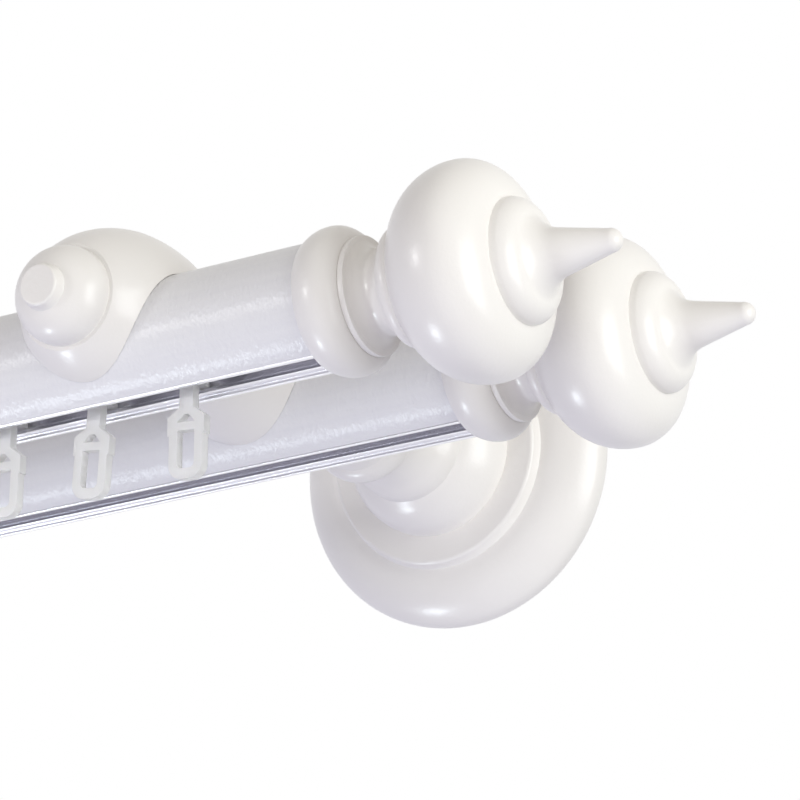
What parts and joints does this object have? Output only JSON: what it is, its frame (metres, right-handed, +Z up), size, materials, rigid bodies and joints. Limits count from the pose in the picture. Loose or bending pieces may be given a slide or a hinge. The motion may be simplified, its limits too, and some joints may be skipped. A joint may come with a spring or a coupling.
{
  "type": "double curtain pole",
  "caption": "Double curtain pole with turned finials, turned wall brackets and gliders sliding in tracks under the poles.",
  "frame": {"origin": "on the wall, midway between the two brackets, at the height of their axes", "axes": "+X along the poles, +Y into the wall, +Z up"},
  "size_m": [1.1396, 0.1862, 0.082],
  "materials": {
    "pole_lacquer": "white gloss lacquer",
    "turned_lacquer": "white gloss lacquer",
    "aluminium": "bright drawn",
    "brass": "plain",
    "zinc_steel": "zinc plated",
    "glider_plastic": "milky translucent"
  },
  "bodies": {
    "curtain_pole": {"front_pole": "pole_lacquer", "rear_pole": "pole_lacquer", "front_track": "aluminium", "rear_track": "aluminium", "front_finial_right": "turned_lacquer", "front_finial_left": "turned_lacquer", "rear_finial_right": "turned_lacquer", "rear_finial_left": "turned_lacquer", "bracket_arm_right": "turned_lacquer", "bracket_arm_left": "turned_lacquer", "wall_rosette_right": "turned_lacquer", "wall_rosette_left": "turned_lacquer", "threaded_inserts": "brass", "finial_dowel_screws": "zinc_steel", "pole_locking_screws": "zinc_steel"},
    "right_glider_1": {"glider_right_1": "glider_plastic"},
    "right_glider_2": {"glider_right_2": "glider_plastic"},
    "right_glider_3": {"glider_right_3": "glider_plastic"},
    "right_glider_4": {"glider_right_4": "glider_plastic"},
    "right_glider_5": {"glider_right_5": "glider_plastic"},
    "left_glider_1": {"glider_left_1": "glider_plastic"},
    "left_glider_2": {"glider_left_2": "glider_plastic"},
    "left_glider_3": {"glider_left_3": "glider_plastic"},
    "left_glider_4": {"glider_left_4": "glider_plastic"},
    "left_glider_5": {"glider_left_5": "glider_plastic"}
  },
  "joints": [
    {"name": "glider_right_1_slide", "type": "slide", "parent": "curtain_pole", "child": "right_glider_1", "axis": [1, 0, 0], "range_m": [-0.0068, 0.0315]},
    {"name": "glider_right_2_slide", "type": "slide", "parent": "curtain_pole", "child": "right_glider_2", "axis": [1, 0, 0], "range_m": [-0.0068, 0.0068]},
    {"name": "glider_right_3_slide", "type": "slide", "parent": "curtain_pole", "child": "right_glider_3", "axis": [1, 0, 0], "range_m": [-0.0068, 0.0068]},
    {"name": "glider_right_4_slide", "type": "slide", "parent": "curtain_pole", "child": "right_glider_4", "axis": [1, 0, 0], "range_m": [-0.0068, 0.0068]},
    {"name": "glider_right_5_slide", "type": "slide", "parent": "curtain_pole", "child": "right_glider_5", "axis": [1, 0, 0], "range_m": [-0.3662, 0.0068]},
    {"name": "glider_left_1_slide", "type": "slide", "parent": "curtain_pole", "child": "left_glider_1", "axis": [1, 0, 0], "range_m": [-0.0315, 0.0068]},
    {"name": "glider_left_2_slide", "type": "slide", "parent": "curtain_pole", "child": "left_glider_2", "axis": [1, 0, 0], "range_m": [-0.0068, 0.0068]},
    {"name": "glider_left_3_slide", "type": "slide", "parent": "curtain_pole", "child": "left_glider_3", "axis": [1, 0, 0], "range_m": [-0.0068, 0.0068]},
    {"name": "glider_left_4_slide", "type": "slide", "parent": "curtain_pole", "child": "left_glider_4", "axis": [1, 0, 0], "range_m": [-0.0068, 0.0068]},
    {"name": "glider_left_5_slide", "type": "slide", "parent": "curtain_pole", "child": "left_glider_5", "axis": [1, 0, 0], "range_m": [-0.0068, 0.3662]}
  ]
}
